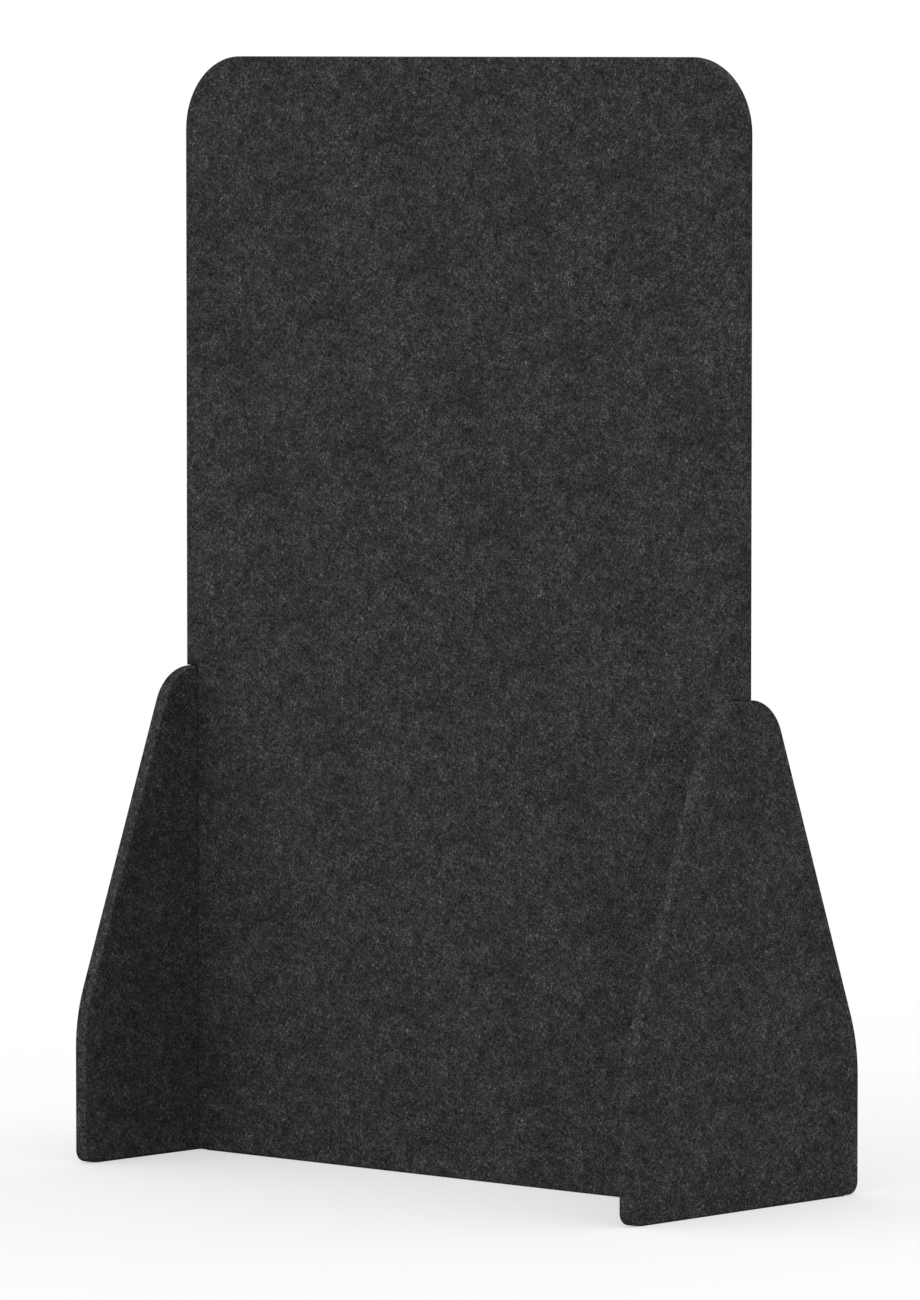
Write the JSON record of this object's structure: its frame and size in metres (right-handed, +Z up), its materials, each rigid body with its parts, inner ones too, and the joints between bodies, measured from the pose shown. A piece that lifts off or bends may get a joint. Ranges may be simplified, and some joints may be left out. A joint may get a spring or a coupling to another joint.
{
  "type": "acoustic divider screen",
  "caption": "Free-standing acoustic screen panel covered in wool cloth, with rounded top corners, standing on tapered wings with levelling feet.",
  "frame": {"origin": "on the floor, under the middle of the screen panel", "axes": "+X along the screen panel to its right end as seen from the front, +Y to the rear, +Z up"},
  "size_m": [1.2, 0.55, 1.8],
  "materials": {
    "wool_cloth": "felted charcoal melange wool cloth, matt",
    "foam": "open-cell foam",
    "felt_infill": "pressed polyester felt",
    "plywood": "sanded birch plywood",
    "beech": "fluted beech",
    "zinc_steel": "zinc-plated",
    "black_nylon": "fine moulded grain"
  },
  "bodies": {
    "screen": {"screen_top_rail": "plywood", "screen_left_stile": "plywood", "screen_right_stile": "plywood", "screen_upper_rail": "plywood", "screen_middle_rail": "plywood", "screen_bottom_rail": "plywood", "screen_frame_dowels": "beech", "screen_upper_infill": "felt_infill", "screen_middle_infill": "felt_infill", "screen_lower_infill": "felt_infill", "screen_front_foam": "foam", "screen_rear_foam": "foam", "screen_front_cover": "wool_cloth", "screen_rear_cover": "wool_cloth", "screen_staples": "zinc_steel", "screen_closing_strip": "black_nylon", "screen_strip_screws": "zinc_steel", "screen_left_studs": "zinc_steel", "screen_right_studs": "zinc_steel"},
    "left_wing": {"left_wing_core": "plywood", "left_wing_inner_foam": "foam", "left_wing_outer_foam": "foam", "left_wing_inner_cover": "wool_cloth", "left_wing_outer_cover": "wool_cloth", "left_wing_staples": "zinc_steel", "left_upper_keyhole_plate": "zinc_steel", "left_middle_keyhole_plate": "zinc_steel", "left_lower_keyhole_plate": "zinc_steel", "left_keyhole_screws": "zinc_steel", "left_wing_runner": "black_nylon", "left_runner_screws": "zinc_steel", "left_front_insert": "zinc_steel", "left_rear_insert": "zinc_steel"},
    "left_front_foot": {"left_front_glide_pad": "black_nylon"},
    "left_front_screw": {"left_front_levelling_screw": "zinc_steel"},
    "left_rear_foot": {"left_rear_glide_pad": "black_nylon"},
    "left_rear_screw": {"left_rear_levelling_screw": "zinc_steel"},
    "right_wing": {"right_wing_core": "plywood", "right_wing_inner_foam": "foam", "right_wing_outer_foam": "foam", "right_wing_inner_cover": "wool_cloth", "right_wing_outer_cover": "wool_cloth", "right_wing_staples": "zinc_steel", "right_upper_keyhole_plate": "zinc_steel", "right_middle_keyhole_plate": "zinc_steel", "right_lower_keyhole_plate": "zinc_steel", "right_keyhole_screws": "zinc_steel", "right_wing_runner": "black_nylon", "right_runner_screws": "zinc_steel", "right_front_insert": "zinc_steel", "right_rear_insert": "zinc_steel"},
    "right_front_foot": {"right_front_glide_pad": "black_nylon"},
    "right_front_screw": {"right_front_levelling_screw": "zinc_steel"},
    "right_rear_foot": {"right_rear_glide_pad": "black_nylon"},
    "right_rear_screw": {"right_rear_levelling_screw": "zinc_steel"}
  },
  "joints": [
    {"name": "left_wing_unhook", "type": "slide", "parent": "screen", "child": "left_wing", "axis": [0, 0, 1], "range_m": [-0.014, 0]},
    {"name": "left_front_foot_travel", "type": "slide", "parent": "left_wing", "child": "left_front_foot", "axis": [0, 0, -1], "range_m": [0, 0.01]},
    {"name": "left_front_screw_turn", "type": "hinge", "parent": "left_front_foot", "child": "left_front_screw", "pos_m": [-0.588, -0.23, 0], "axis": [0, 0, -1], "range_deg": [0, 2880]},
    {"name": "left_rear_foot_travel", "type": "slide", "parent": "left_wing", "child": "left_rear_foot", "axis": [0, 0, -1], "range_m": [0, 0.01]},
    {"name": "left_rear_screw_turn", "type": "hinge", "parent": "left_rear_foot", "child": "left_rear_screw", "pos_m": [-0.588, 0.23, 0], "axis": [0, 0, -1], "range_deg": [0, 2880]},
    {"name": "right_wing_unhook", "type": "slide", "parent": "screen", "child": "right_wing", "axis": [0, 0, 1], "range_m": [-0.014, 0]},
    {"name": "right_front_foot_travel", "type": "slide", "parent": "right_wing", "child": "right_front_foot", "axis": [0, 0, -1], "range_m": [0, 0.01]},
    {"name": "right_front_screw_turn", "type": "hinge", "parent": "right_front_foot", "child": "right_front_screw", "pos_m": [0.588, -0.23, 0], "axis": [0, 0, -1], "range_deg": [0, 2880]},
    {"name": "right_rear_foot_travel", "type": "slide", "parent": "right_wing", "child": "right_rear_foot", "axis": [0, 0, -1], "range_m": [0, 0.01]},
    {"name": "right_rear_screw_turn", "type": "hinge", "parent": "right_rear_foot", "child": "right_rear_screw", "pos_m": [0.588, 0.23, 0], "axis": [0, 0, -1], "range_deg": [0, 2880]}
  ],
  "couplings": [
    {"joint": "left_front_foot_travel", "follows": "left_front_screw_turn", "m_per_rad": 0.00019894},
    {"joint": "left_rear_foot_travel", "follows": "left_rear_screw_turn", "m_per_rad": 0.00019894},
    {"joint": "right_front_foot_travel", "follows": "right_front_screw_turn", "m_per_rad": 0.00019894},
    {"joint": "right_rear_foot_travel", "follows": "right_rear_screw_turn", "m_per_rad": 0.00019894}
  ]
}
